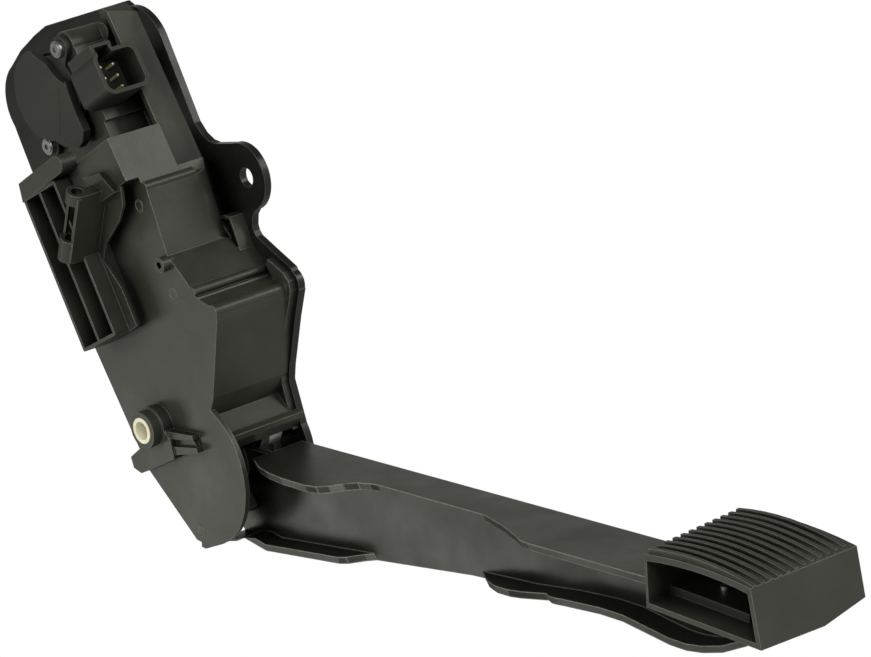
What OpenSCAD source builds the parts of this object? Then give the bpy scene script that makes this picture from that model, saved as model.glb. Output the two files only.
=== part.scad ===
// Hanging accelerator pedal with a position sensor, side mounted on a steel plate.
// X points towards the driver, Y from the pedal towards its mounting face, Z up along the housing.
// The origin is the centre of the ear's bolt hole, on the mounting face.

/* [Mounting plate] */
// Thickness of the steel plate
plate_t = 3.5; // [3:0.1:3.8]
// Diameter of the bolt hole in the plate's ear
ear_hole_d = 9; // [8.4:0.1:10]
// Radius of the round ear
ear_r = 15.6; // [14:0.1:16]

/* [Housing] */
// Distance from the mounting face to the outside of the near wall
housing_w = 46; // [46:0.5:50]
// Wall thickness of the moulded housing
wall_t = 2.5; // [2:0.1:3]
// How far the raised panel stands out of the near wall
panel_h = 7; // [5:0.5:9]
// Radius of the round lower end of the near wall
lobe_r = 35; // [34:0.5:36]
// Height of the two thin ribs above the front box
rib_h = 1.6; // [1:0.1:2.5]

/* [Pivot] */
// Diameter of the pivot pin
pin_d = 10; // [9:0.5:11]
// Radial clearance of the pin in its bushes
run_gap = 0.05; // [0.03:0.01:0.08]
// Wall of the bushes
bush_t = 2; // [1.5:0.25:2.5]
// Travel of the pedal from idle to full throttle, in degrees
travel_deg = 18; // [14:0.5:18]
// Distance from the pivot to the link's crank pin
crank_r = 18; // [18:0.25:19]
// Diameter of the pins that carry the link
link_pin_d = 6; // [5:0.5:6]

/* [Pedal arm] */
// Thickness of the arm's flanges and web
arm_t = 3; // [2.5:0.25:3.5]
// Slope of the arm's top face below level, in degrees
arm_slope = 28.9; // [28.5:0.1:29.3]
// Distance from the web's near face to the mounting face
web_y = 28; // [27:0.25:29]

/* [Pedal pad] */
// Length of the pad along its sole
pad_len = 62; // [58:0.5:66]
// Width of the pad
pad_w = 54; // [50:0.5:58]
// Height of the pad at its two ends
pad_h = 22.7; // [21:0.1:24]
// Wall thickness of the pad
pad_t = 2.2; // [2:0.1:2.6]
// Number of tread ribs on the pad
tread_count = 12; // [8:1:13]
// Height of the tread ribs
tread_h = 2; // [1.4:0.1:2.4]

/* [Sensor] */
// Radius of the sensor's round cap
cap_r = 21; // [20.5:0.1:22]
// Distance from the sensor's axis to each fixing screw
screw_r = 25.1; // [25:0.1:26.5]
// Height of the connector socket
socket_h = 21; // [20:0.5:23]
// Width of the connector socket
socket_w = 24; // [23:0.5:25]
// Wall thickness of the connector socket
socket_t = 1.8; // [1.4:0.1:2.2]

/* [Lower fixing] */
// Bore of the steel sleeve for the lower fixing bolt
sleeve_bore_d = 8.5; // [8.2:0.1:9]
// Outside diameter of the steel sleeve
sleeve_d = 12; // [11.5:0.5:13]
// How far the sleeve's boss stands out of the near wall
boss_h = 10.5; // [8:0.5:11]

/* [Springs] */
// Wire diameter of the outer return spring
wire_out = 1.6; // [1.2:0.1:1.8]
// Wire diameter of the inner return spring
wire_in = 1.2; // [0.8:0.1:1.3]
// Free space that the springs fill at idle
spring_len = 46; // [42:0.5:48]

/* [Clip holder] */
// Width of the holder's tray
tray_w = 29; // [27:0.5:31]
// Height of the holder's tray
tray_h = 74; // [73:0.5:75]
// Depth of the holder's tray
tray_d = 15; // [12:0.5:17]
// Wall thickness of the holder
tray_t = 1.4; // [1.2:0.1:2]
// Tilt of the holder against the housing, in degrees
tray_tilt = 3.7; // [3:0.1:4]

/* [Hidden] */
$fn = 64;
fit = 0.3;            // clearance between pieces that must not touch
near_y = -housing_w;  // outside of the near wall
deck_y = -plate_t;    // near face of the steel plate, which closes the housing
inner_y = near_y + wall_t;
panel_y = near_y - panel_h;
pivot = [-67, -106];
sensor = [-67, 74.5];
front_x = -14.5;      // front of the upper block
step_x = -28;         // front of the strip beside the upper block
step_y = -24.5;       // far side of the upper block
ledge_z = 17.5;       // top of the middle block beyond the upper block
rear_x = -102;        // rear edge of the near wall
sleeve_at = [-78, -80];
web_near = -web_y;
web_far = web_near + arm_t;
arm_far = -8;         // far edge of the arm's flanges
bush_r = pin_d / 2 + bush_t;
hub_near_r = bush_r + 8;
hub_far_r = bush_r + 4.6;
hub_y0 = near_y + 7.6;
lug_y = inner_y + 6.5;  // near face of the stop lug
hub_y1 = -10;
crank_up = travel_deg / 2;   // the crank is level at mid travel
link_x = pivot[0] + crank_r * cos(crank_up);
link_z0 = pivot[1] + crank_r * sin(crank_up);
link_z1 = sensor[1] + crank_r * sin(crank_up);
eye_r = link_pin_d / 2 + 2.5;
eye_y0 = -18;         // near face of the link's eyes
eye_y1 = -11;         // far face of the link's eyes
link_y = (eye_y0 + eye_y1) / 2;
link_d = 6;
shelf_z = -58;        // top of the shelf that carries the springs
seat_t = 1.5;
seat_r = 9.8;
cap_z = shelf_z + seat_t + spring_len;
screw_dir = [cos(41.2), sin(41.2)];
screw_at = [sensor + screw_r * screw_dir, sensor - screw_r * screw_dir];
flange_y = -31;       // seat of the sensor on the housing
flange_t = 3;
cap_t = 4;
socket_y0 = -40;
socket_x0 = -40.4;
socket_x1 = -18.5;
socket_z0 = 57;
socket_wall = 6;      // depth of the solid floor behind the socket
tray_at = [-71.6, -0.3];
peg_at = [[-82, 12], [-84, -22]];
lug_at = [-21.6, -21.4];
lug_r1 = 26;
lug_w = 6;
bumper_t = 4;
shoe_z = -110.1;      // underside of the friction shoe
shoe_h = 14.2;
pad_slope = 32.6;
pad_at = [201.7, -249.4];
pad_y0 = -31 - pad_w / 2;
tread_pitch = pad_w / (tread_count + 0.4);
tread_gap = (tread_pitch - 1.8) / 2;   // groove on each side of a tread rib
arm_mark = [-32, -116.5];   // a point on the arm's top face

// Draws a side outline (x, z) and gives it its width from y0 to y1
module side(y0, y1) {
    translate([0, y1, 0]) rotate([90, 0, 0]) linear_extrude(height = y1 - y0) children();
}

// A round bar along Y at a place [x, z]
module bar(at, r, y0, y1) {
    translate([at[0], y1, at[1]]) rotate([90, 0, 0]) cylinder(r = r, h = y1 - y0);
}

// A flat outline with its outer corners rounded by circles of radius r at the given centres
module round_box(w, h, r) {
    union() {
        square([w - 2 * r, h], center = true);
        square([w, h - 2 * r], center = true);
        for (sx = [-1, 1], sy = [-1, 1])
            translate([sx * (w / 2 - r), sy * (h / 2 - r)]) circle(r = r);
    }
}

// Height of the arm's top face at x
function arm_top(x) = arm_mark[1] - (x - arm_mark[0]) * tan(arm_slope);

// One closed coil spring along Z, as rings of a round wire swept along a helix
module coil(mean_r, wire, length, turns) {
    sides = 8;
    steps = turns * 14;
    rise = length - wire;
    rings = [for (i = [0 : steps]) let (
        a = 360 * turns * i / steps,
        flat = 0.9 * 360,
        ramp = min(1, max(0, (a - flat) / (360 * turns - 2 * flat))),
        pitch_z = wire * 0.9,
        z = wire / 2 + pitch_z * min(1, a / flat)
            + (rise - 2 * pitch_z) * ramp
            + pitch_z * min(1, max(0, (a - 360 * turns + flat) / flat)))
        for (k = [0 : sides - 1]) let (b = 360 * k / sides, r = mean_r + wire / 2 * cos(b))
            [r * cos(a), r * sin(a), z + wire / 2 * sin(b)]];
    walls = [for (i = [0 : steps - 1], k = [0 : sides - 1]) let (n = (k + 1) % sides)
        [i * sides + k, i * sides + n, (i + 1) * sides + n, (i + 1) * sides + k]];
    ends = [[for (k = [sides - 1 : -1 : 0]) k], [for (k = [0 : sides - 1]) steps * sides + k]];
    polyhedron(points = rings, faces = concat(walls, ends), convexity = 10);
}

module plate_outline() {
    difference() {
        union() {
            polygon([[-29.8, 97.8], [-31.3, 99.6], [-96, 115], [-107.5, 115], [-123.2, 113.7],
                [-134.8, 110.8], [-152.1, 98.3], [-154, 83.1], [-155.7, 64.7], [-154, 20], [-150, -30],
                [-112, -84], [-98, -106], [-42, -117], [-37, -99.3], [-33.5, -86.8], [-28.6, -81.6],
                [-9.9, -64.9], [1.6, -55.6], [2.6, -45.2], [-4.6, -34.6], [-11.3, -24.6], [-11.6, -22],
                [-10.9, -19.5], [-7.6, -15.8], [-4.6, -14.6], ear_at, [3.4, 15.2], [-11.5, 21],
                [-15, 23.8], [-17.7, 28.2], [-19.1, 34.4], [-15.4, 76]]);
            translate(ear_at) circle(r = ear_r);
            translate([-3.3, -50.4]) circle(r = 6.8);
            translate([-36, 77]) circle(r = 20.6);
            translate([-133, 90]) circle(r = 20.8);
            translate(pivot) circle(r = 28);
        }
        circle(d = ear_hole_d);
        translate(sleeve_at) circle(d = sleeve_bore_d);
    }
}

ear_at = [-2.5, 1];   // centre of the ear's round end
plate_screw_at = [[-94, 30], [-34.6, 24], [-94, -50], [-20, -50], [-40, 91]];

module mounting_plate() {
    color("#1b1c1a") difference() {
        side(deck_y, 0) plate_outline();
        for (p = plate_screw_at) screw_hole(p);
        bar(pivot, 4.05, deck_y - 1, 1);
        translate([pivot[0], 0.01, pivot[1]]) rotate([90, 0, 0]) cylinder(r1 = 5.55, r2 = 4.05, h = 1.51);
    }
}

// A countersunk hole from the mounting face
module screw_hole(p) {
    bar(p, 2.2, deck_y - 1, 1);
    translate([p[0], 0.01, p[1]]) rotate([90, 0, 0]) cylinder(r1 = 4.26, r2 = 2.2, h = 2.06);
}

module plate_screws() {
    color("#8e9296") for (p = plate_screw_at) difference() {
        union() {
            bar(p, 1.9, deck_y - 9.5, -0.2);
            translate([p[0], -0.15, p[1]]) rotate([90, 0, 0]) cylinder(r1 = 4, r2 = 1.9, h = 2.1);
        }
        translate([p[0] - 2.4, -1, p[1] - 0.5]) cube([4.8, 1.2, 1]);
        translate([p[0] - 0.5, -1, p[1] - 2.4]) cube([1, 1.2, 4.8]);
    }
}

// Side outline of the near wall, with its round lower end
module near_wall_outline() {
    difference() {
        union() {
            polygon([[rear_x, 38], [rear_x, -94], [pivot[0], -106], [-32, -101.7], [-34.6, -100],
                [-40.9, -87.6], [-41.5, -74.8], [-31.8, -82.2], [-5, -56], [-10.5, -48.6],
                [-15, -39.7], [-24.5, -27], [-29.3, -15.1], [-19.2, -19], [-13, 11], [front_x, 13],
                [front_x, 38]]);
            translate(pivot) circle(r = lobe_r);
            polygon([[-87.7, -137.1], [-85.4, -138.8], [-72.2, -140.8], pivot]);
        }
        // the straight rear edge of the lower end
        polygon([[rear_x - 9, -94], [rear_x, -94], [-87.7, -137.1], [-90, -150], [rear_x - 9, -150]]);
        polygon([[-46, -67.2], [-42.9, -71.4], [-48.4, -72.4]]);
    }
}

// Side outline of the body behind the near wall
module body_outline(top_x, top_z) {
    polygon([[rear_x, 38], [rear_x, -94], [-91.6, -125.4], [-88.9, -124.4], [-88, -106], [-38, -102],
        [-40.8, -89.6], [-31.8, -83.4], [-5, -56], [-3, -52.4], [-5.4, -48], [-12.7, -41.4],
        [-12.7, -37.2], [-19, -19], [-13, 11], [front_x, 13], [front_x, top_z], [top_x, top_z],
        [top_x, 38]]);
}

// Side outline of the space inside the body, with its front set back behind the cut corner
module body_space(top_x, top_z, back) {
    polygon([[rear_x + wall_t, 38 - wall_t], [rear_x + wall_t, -94.6], [-90.2, -121.4], [-86, -134],
        [-46, -134], [-41.2, -104], [-43.4, -89], [-34, -82.4], [-8.4, -56], [-7.6, -52],
        [-9.8, -47.4], [-15.2, -42.8], [-15.2, -37.6], [-21.6 - back, -19.4 - back * 0.8], [-15.6 - back, 11],
        [-17 - back, 14], [-17 - back, top_z - wall_t], [top_x - wall_t, top_z - wall_t],
        [top_x - wall_t, 38 - wall_t]]);
}

// Side outline of the thin rim that lies on the plate's edge
module rim_outline() {
    polygon([[-9, -38], [-6.4, -36.6], [0, -45.6], [1.2, -50.2], [-0.6, -54.4], [-11.4, -63.2],
        [-30, -80], [-35.2, -87.4], [-38.8, -99.6], [-43.5, -112], [-46, -104], [-42, -88],
        [-36, -82], [-9, -55], [-9, -50]]);
}

// What is cut from the far corner of the middle block: a round corner that runs back to the plate
module corner_cut() {
    translate([-13, 0, 11]) rotate([0, 11.3, 0]) difference() {
        translate([0, 0, -42]) linear_extrude(height = 49) difference() {
            polygon([[-2, -18], [9, -18], [9, 1], [-16.1, 1], [-4.3, -8.8]]);
            translate([-12, -18]) circle(r = 12);
        }
        translate([-30, -18, -29]) rotate([-22, 0, 0]) translate([0, -20, -40]) cube([50, 60, 40]);
    }
}

// Rounded outline of the sensor's flange and of its seat
module flange_outline(grow) {
    translate(sensor) circle(r = cap_r - 2 + grow);
    for (p = screw_at) translate(p) circle(r = 5.5 + grow);
    translate(sensor) rotate(41.2) square([2 * screw_r, 10 + 2 * grow], center = true);
}

// The boss for the lower fixing, with its ribbed foot
module sleeve_boss() {
    bar(sleeve_at, 9.5, near_y - boss_h + 5, deck_y);
    bar(sleeve_at, 8.4, near_y - boss_h, near_y);
    side(near_y - 5, near_y) polygon([[-103.6, -86], [-104.9, -91], [-101, -95], [-95.4, -95.6],
        [-72, -97.6], [-69, -90], [-70, -82], [-86, -82], [-93, -85]]);
    side(near_y - 4, near_y) polygon([[-72, -84.2], [-53, -93], [-53.6, -95], [-72, -88]]);
    side(near_y - 4, near_y) polygon([[-72, -91.8], [-54, -98.6], [-54.4, -101], [-72, -96]]);
    side(near_y - 2, near_y) polygon([[-72, -84.2], [-56, -92], [-56, -100], [-72, -96]]);
}

// Everything of the housing that is solid before it is hollowed
module housing_solid() {
    side(near_y, inner_y) near_wall_outline();
    side(near_y, step_y) body_outline(front_x - 0.2, 38);
    difference() {
        side(step_y - 1, deck_y) body_outline(step_x, ledge_z);
        corner_cut();
    }
    side(deck_y - 3.2, deck_y) rim_outline();
    // rim of the small pocket in the round corner
    side(-11, deck_y) polygon([[-22, -8.6], [-20.6, -19], [-18.2, -27.6], [-16.2, -27.4], [-13.4, -12.2],
        [-16.8, -10]]);
    // the upper block, whose near face stands out of the near wall
    translate([-53.5, panel_y, ledge_z]) cube([53.5 + front_x, step_y - panel_y, 20.5]);
    // rounded ridge of the middle block
    bar([front_x - 0.3, 12.4], 2.5, near_y, -18.4);
    // front wall of the top, with the floor behind it
    intersection() {
        translate([0, 0, ledge_z - 3]) linear_extrude(height = 90) difference() {
            polygon([[-44, -16], [step_x, -16], [step_x + 3.5, deck_y], [-44, deck_y]]);
            translate([-46, -20]) square([46 + step_x - wall_t, 11]);
        }
        side(-17, 0) polygon([[-50, 14], [-20, 14], [-20, 82], [-22.4, 89], [-27, 95.4], [-31, 99.4],
            [-50, 104]]);
    }
    side(flange_y, deck_y) flange_outline(1.5);
    translate([-67, flange_y, 52]) cube([26, deck_y - flange_y, 36]);
    translate([-90, flange_y, 30]) cube([46.5, deck_y - flange_y, 40]);
    // bead on the front box, its ribs and the lower lip
    bar([-5.6, -51.2], 3.2, near_y, deck_y);
    bar([-13.6, -38.8], 2.4, near_y, deck_y);
    side(near_y, deck_y) polygon([[-12.7, -41.3], [-12.7 + rib_h, -42.1], [-12.7 + rib_h, -43.1],
        [-12.7, -43.7]]);
    side(near_y + 1, deck_y) polygon([[-36.4, -99.4], [-33.6, -102], [-35.4, -104], [-41.5, -106.3],
        [-42.5, -100]]);
    sleeve_boss();
    // small lug on the wall's front edge
    bar(lug_at, 3.4, near_y - 4.5, near_y + 2);
}

module housing() {
    color("#3b3c39") difference() {
        union() {
            difference() {
                housing_solid();
                side(inner_y, step_y - wall_t) body_space(front_x, 38, 0);
                side(step_y - wall_t - 1, deck_y + 1) body_space(step_x, ledge_z, 10);
                side(flange_y + wall_t, deck_y) flange_outline(-1.6);
                translate([-67, flange_y + wall_t, 54]) cube([23.8, 30, 32]);
                translate([-87.5, flange_y + wall_t, 34]) cube([42.2, 30, 34]);
            }
            // pieces that stand inside the space
            translate([-61, inner_y, shelf_z - 3]) cube([22, -inner_y - plate_t, 3]);
            bar(sleeve_at, 9.5, near_y, deck_y);
            bar(pivot, bush_r + 3.6, inner_y, hub_y0 - 2.2);
            for (p = plate_screw_at) bar(p, 4.2, p[1] > 38 ? deck_y - 11 : inner_y, deck_y);
            bumper_post(0);
            bumper_post(1);
            // guides of the friction shoe and the stop of its spring
            translate([-95, inner_y - 0.5, shoe_z - 1.9]) cube([11, 16, 1.6]);
            translate([rear_x + 1, inner_y - 0.5, shoe_z + shoe_h + 0.3]) cube([15, 16, 1.6]);
            translate([rear_x + 4.6, inner_y - 0.5, shoe_z + 3]) cube([2.6, 16, shoe_h - 2]);
        }
        bar(sleeve_at, sleeve_d / 2 + run_gap, near_y - boss_h - 1, 1);
        bar(pivot, pin_d / 2 + run_gap, near_y + 1.5, 1);
        for (p = plate_screw_at) bar(p, 1.95, deck_y - 10, 1);
        // opening for the link and its springs in the shelf
        translate([link_x, link_y, shelf_z - 4]) cylinder(r = link_d / 2 + 1.5, h = 6);
        translate([link_x, link_y, shelf_z]) cylinder(r = seat_r + fit, h = 6);
        // seat and bore of the sensor
        bar(sensor, 14.3, flange_y - 1, flange_y + wall_t + 1);
        for (p = screw_at) bar(p, 1.75, flange_y - 1, flange_y + 9);
        for (p = peg_at) bar(p, 2.5, near_y - 1, inner_y + 1);
        // the lug's hole and the small pocket
        bar(lug_at, 1.7, near_y - 6, near_y - 0.6);
        side(-12, deck_y + 1) polygon([[-20.6, -10.4], [-19.4, -19], [-17.8, -25.6], [-16.9, -25.4],
            [-14.8, -13], [-17.2, -11.4]]);
    }
}

// Post that carries a bumper: 0 is idle, 1 is full travel
module bumper_post(which) {
    turn = which * travel_deg;
    flip = which == 0 ? 1 : -1;
    translate([pivot[0], 0, pivot[1]]) rotate([0, turn, 0]) scale([flip, 1, 1])
        translate([lug_w / 2 + fit + bumper_t, inner_y - 0.5, -lug_r1]) cube([5, 12, 7]);
}

module bumper_pad(which) {
    turn = which * travel_deg;
    flip = which == 0 ? 1 : -1;
    translate([pivot[0], 0, pivot[1]]) rotate([0, turn, 0]) scale([flip, 1, 1])
        translate([lug_w / 2 + fit, inner_y + 1.2, -lug_r1]) cube([bumper_t, 10, 7]);
}

module idle_bumper() {
    color("#232323") bumper_pad(0);
}

module full_travel_bumper() {
    color("#232323") bumper_pad(1);
}

// Two open eyes for the wiring, one above the other, each on a shelf of the panel
eye_lean = 52;        // how far the eyes lean back from upright, in degrees
eye_out = 4.8;        // outer radius of an eye
eye_reach = 13;       // from the panel to the middle of an eye
module eye_shelf(height) {
    linear_extrude(height = height) union() {
        circle(r = eye_out);
        translate([-1, 0]) square([1 + eye_out, eye_reach + 1]);
    }
}

module cable_eyes() {
    difference() {
        union() {
            translate([-35.5, panel_y - eye_reach, 22]) rotate([0, eye_lean, 0]) difference() {
                union() {
                    translate([0, 0, -3]) eye_shelf(5.5);
                    translate([0, 0, -33]) eye_shelf(11);
                    translate([3.2, -2.5, -32]) cube([1.6, eye_reach + 3, 33]);
                    translate([-eye_out, -0.7, -28]) cube([1.4, 1.4, 28]);
                }
                translate([0, 0, -40]) cylinder(r = 2.9, h = 60);
            }
            side(panel_y - 3, panel_y + 1) polygon([[-40.4, 29.7], [-27.3, 27], [-21.9, 15.6], [-37, 16]]);
        }
        translate([-80, panel_y + 1, -20]) cube([60, 16, 70]);
        // keeps clear of the housing's upper block
        translate([-80, panel_y - 0.1, 17.3]) cube([60, 16, 40]);
    }
}

// Side outline of the thin panel that carries the eyes and stands clear of the near wall
module panel_outline() {
    polygon([[-20.5, 17.2], [-21.4, 15], [-24, 9.8], [-32, 5], [-49.6, 0], [-56.2, -5.5], [-52, -20],
        [-53.2, -38.5], [-60.5, -38.5], [-58.2, 17.2]]);
}

module in_tray_frame() {
    translate([tray_at[0], near_y, tray_at[1]]) rotate([0, tray_tilt, 0]) children();
}

module harness_clip_holder() {
    room = (tray_w - 3 * tray_t) / 2;
    color("#454642") difference() {
        union() {
            in_tray_frame() side(-tray_d, 0) round_box(tray_w, tray_h, 1);
            // the hooked bar above the tray
            side(near_y - tray_d - 0.4, near_y)
                polygon([[-84.3, 36.3], [-81.3, 44.5], [-47, 44.5], [-47, 36.3]]);
            bar([-47, 40.4], 4.1, near_y - tray_d - 0.4, near_y);
            cable_eyes();
            side(panel_y, panel_y + 1.4) panel_outline();
            for (p = peg_at) bar(p, 2.4, near_y - 1, inner_y + 1);
        }
        in_tray_frame() for (s = [-1, 1])
            translate([s * (room + tray_t) / 2 - room / 2, -tray_d - 1, tray_t - tray_h / 2])
                cube([room, tray_d - 0.2, tray_h - 2 * tray_t]);
        // the bar stands clear of the housing's upper block
        side(panel_y - fit, near_y + 1) polygon([[-53.5, 30], [-53.5, 60], [-20, 60], [-20, 30]]);
    }
}

module compression_sleeve() {
    color("#d9d8cb") difference() {
        bar(sleeve_at, sleeve_d / 2, near_y - boss_h - 0.4, deck_y);
        bar(sleeve_at, sleeve_bore_d / 2, near_y - boss_h - 2, 1);
    }
}

module pivot_pin() {
    color("#a4a8ac") union() {
        bar(pivot, pin_d / 2, near_y + 1.8, deck_y);
        bar(pivot, pin_d / 2 + 3, -7.8, deck_y);
        bar(pivot, 4, deck_y, -0.3);
    }
}

module pivot_bushes() {
    color("#d8d2bf") for (end = [0, 1]) difference() {
        y_out = end == 0 ? hub_y0 - 1.2 : hub_y1;
        y_in = end == 0 ? hub_y0 : hub_y1 - 9;
        union() {
            bar(pivot, bush_r + 2, y_out, y_out + 1.2);
            bar(pivot, bush_r, y_in, y_in + 9);
        }
        bar(pivot, pin_d / 2 + run_gap, near_y, 0);
    }
}

module thrust_washers() {
    color("#b8bcc0") for (y = [hub_y0 - 2.15, -8.7]) difference() {
        bar(pivot, bush_r + 1.6, y, y + 0.8);
        bar(pivot, pin_d / 2 + run_gap, near_y, 0);
    }
}

// Lower edge of the arm, from its hub to its round end under the pad
arm_low = [[-66, -142], [-59.4, -147.6], [-53.8, -152.3], [3.6, -177.6], [65.3, -204],
    [103.5, -222.7], [128.1, -233.1], [148.2, -242.8], [159.9, -249.6], [181.2, -266], [189.3, -270.8],
    [198, -274.3], [209.5, -277.5], [223.9, -279.1], [233.5, -277.5]];
tongue_z = 0.3;       // height of the tongue's underside above the pad's sole
tongue_u = 41;        // how far the tongue reaches into the pad

// A point of the pad's own frame (u along the sole, w away from it) in the arm's side view
function on_pad(u, w) = pad_at + u * [cos(pad_slope), -sin(pad_slope)] + w * [sin(pad_slope), cos(pad_slope)];

module arm_outline() {
    polygon(concat([[-72, -141.8], [-77.4, -140.2], [-78, -112], [-67, -94], [-54, arm_top(-54)],
        [pad_at[0], arm_top(pad_at[0])], on_pad(tongue_u, tongue_z + arm_t), on_pad(tongue_u, -fit)],
        [for (i = [14 : -1 : 0]) arm_low[i]]));
}

// The same outline, smaller by the flange's thickness at top and bottom
module arm_inside() {
    polygon(concat([[-96, -60], [-96, -131]],
        [for (i = [1 : 13]) arm_low[i] + [0.42, 0.9] * arm_t],
        [on_pad(tongue_u - 4, tongue_z), on_pad(0, tongue_z),
        [-37, arm_top(-37) - arm_t * 1.14], [-37, -60]]));
}

// Line along the middle of the web, between the two flanges
arm_middle = [[-110, -118], [-96, -120], [-20, -145], [61.8, -186], [194, -257], [228, -272], [300, -272]];

// Plan outline (x, y) of the arm: wide at the hub, narrow in the middle, wide again at the pad
module arm_plan(near_edge, near_pad) {
    polygon(concat(near_edge, [[117, near_pad + 3], [121, near_pad + 0.8], [126, near_pad],
        [262, near_pad], [262, -17], [192, -17], [184, -15], [176, -11], [168, arm_far],
        [near_edge[0][0], arm_far]]));
}

top_edge = [[-43, -32.5], [-28.4, -41.3], [-20, -44], [-10, -45.6], [5.2, -45.9], [10.5, -44.6],
    [14, -41], [17, -35.5], [21, -31], [26, -28.8], [34, web_near + 1], [84, web_near + 1],
    [92, web_near - 0.6], [104, web_near - 4.4]];
low_edge = [[-80, -38], [-6, -38], [-2, -36.4], [3, -30.4], [8, web_near + 1], [71, web_near + 1],
    [76, -30.5], [82, -34.8], [90, -38.2], [98, -39]];

module pedal_arm() {
    color("#20211f") difference() {
        union() {
            // the web, and the flanges that stand out from it on both sides
            side(web_near, web_far) arm_outline();
            difference() {
                intersection() {
                    side(near_y, 0) arm_outline();
                    translate([0, 0, -400]) linear_extrude(height = 400) arm_plan(top_edge, -41);
                }
                side(near_y - 1, 1) arm_inside();
                side(near_y - 1, 1) polygon(concat(arm_middle, [[300, -400], [-110, -400]]));
            }
            difference() {
                intersection() {
                    side(near_y, 0) arm_outline();
                    translate([0, 0, -400]) linear_extrude(height = 400) arm_plan(low_edge, -39);
                }
                side(near_y - 1, 1) arm_inside();
                side(near_y - 1, 1) polygon(concat(arm_middle, [[300, -60], [-110, -60]]));
            }
            // the hub, its crank and its stop lug
            bar(pivot, hub_near_r, hub_y0, -20);
            bar(pivot, hub_far_r, hub_y0, hub_y1);
            side(-22.5, eye_y0 - 0.5) crank_outline(pivot);
            bar([link_x, link_z0], link_pin_d / 2, -22.5, eye_y1 + 2.2);
            translate([pivot[0] - lug_w / 2, lug_y, pivot[1] - lug_r1]) cube([lug_w, 7, lug_r1 - 8]);
        }
        bar(pivot, bush_r, near_y - 1, 1);
        // room for the link's eye beside the crank
        difference() {
            bar([link_x, link_z0], eye_r + 2, eye_y0 - 0.5, 0);
            bar([link_x, link_z0], link_pin_d / 2, eye_y0 - 2, 1);
            bar(pivot, hub_far_r, near_y, 0);
        }
        clip_groove(link_z0);
        // hole for the pad's screw
        pad_frame() translate([20, -34.5, -2]) cylinder(d = 4.2, h = 9);
    }
}

// Crank cheek between a pivot and the link's pin
module crank_outline(at) {
    translate(at) circle(r = 8);
    translate([link_x, at[1] + crank_r * sin(crank_up)]) circle(r = eye_r);
    translate(at) rotate(crank_up) translate([0, -5]) square([crank_r, 10]);
}

// Groove for the retaining clip, near the end of a link pin
module clip_groove(z) {
    difference() {
        bar([link_x, z], link_pin_d / 2 + 1, eye_y1 + 0.3, eye_y1 + 1.2);
        bar([link_x, z], link_pin_d / 2 - 0.6, eye_y1, eye_y1 + 2);
    }
}

// Open spring steel ring in the groove of a link pin
module retaining_clip(z) {
    difference() {
        bar([link_x, z], link_pin_d / 2 + 1.8, eye_y1 + 0.4, eye_y1 + 1.1);
        bar([link_x, z], link_pin_d / 2 - 0.58, eye_y1, eye_y1 + 2);
        translate([link_x, eye_y1, z - 1.4]) cube([10, 2, 2.8]);
    }
}

module crank_clip() {
    color("#9a9ea2") retaining_clip(link_z0);
}

module lever_clip() {
    color("#9a9ea2") retaining_clip(link_z1);
}

module link_rod() {
    color("#8d9195") difference() {
        union() {
            translate([link_x, link_y, link_z0 + eye_r - 1]) cylinder(d = link_d, h = link_z1 - link_z0 - 2 * eye_r + 2);
            for (z = [link_z0, link_z1]) bar([link_x, z], eye_r, eye_y0, eye_y1);
            // collar under the spring cap's seat
            translate([link_x, link_y, cap_z + 3]) cylinder(d = link_d + 2.4, h = 2);
        }
        for (z = [link_z0, link_z1]) bar([link_x, z], link_pin_d / 2 + run_gap, eye_y0 - 1, eye_y1 + 1);
    }
}

module spring_seat() {
    color("#2c2c2c") translate([link_x, link_y, shelf_z]) difference() {
        union() {
            cylinder(r = seat_r, h = seat_t);
            cylinder(r = link_d / 2 + 1.2, h = seat_t + 4);
        }
        translate([0, 0, -1]) cylinder(r = link_d / 2 + 0.4, h = 10);
    }
}

module spring_cap() {
    color("#2c2c2c") translate([link_x, link_y, cap_z]) difference() {
        union() {
            cylinder(r = seat_r, h = 3);
            translate([0, 0, -3]) cylinder(r = link_d / 2 + 1.2, h = 4);
        }
        translate([0, 0, -4]) cylinder(d = link_d + 0.04, h = 10);
    }
}

module return_spring_outer() {
    color("#7d8186") translate([link_x, link_y, shelf_z + seat_t])
        coil(seat_r - 1 - wire_out / 2, wire_out, spring_len, 8);
}

module return_spring_inner() {
    color("#8b8f94") translate([link_x, link_y, shelf_z + seat_t])
        coil(link_d / 2 + 1.6 + wire_in / 2, wire_in, spring_len, 11);
}

module friction_shoe() {
    color("#4a4037") difference() {
        translate([rear_x + 12.6, inner_y + 3, shoe_z]) cube([pivot[0] - rear_x - 16.6, 12, shoe_h]);
        bar(pivot, hub_near_r + fit, near_y, 0);
    }
}

module friction_spring() {
    color("#7d8186") translate([rear_x + 7.3, inner_y + 9, shoe_z + shoe_h / 2]) rotate([0, 90, 0])
        coil(3.4, 1, 5.2, 4);
}

// Everything of the pad lies in its own frame: u along the sole, z away from the sole
module pad_section(base, top, u0, u1) {
    polygon(concat([[u0, base], [u1, base]],
        [for (k = [0 : 8]) let (t = k / 8)
            [u1 - (u1 - u0) * t, top + pad_crown * (1 - pow(2 * t - 1, 2))]]));
}

pad_crown = 3;        // rise of the pad's top between its ends
pad_lift = 1.5;       // how much higher the pad's far side is than its near side
pad_skew = 4.3;       // turn of the pad's front face in plan, in degrees

// What lies in front of the pad's slanting front face
module pad_front(inset) {
    translate([pad_len + 0.6 - inset, pad_y0, 0]) rotate([0, -10.3, -pad_skew])
        translate([0, -10, -10]) cube([40, 90, 60]);
}

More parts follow.
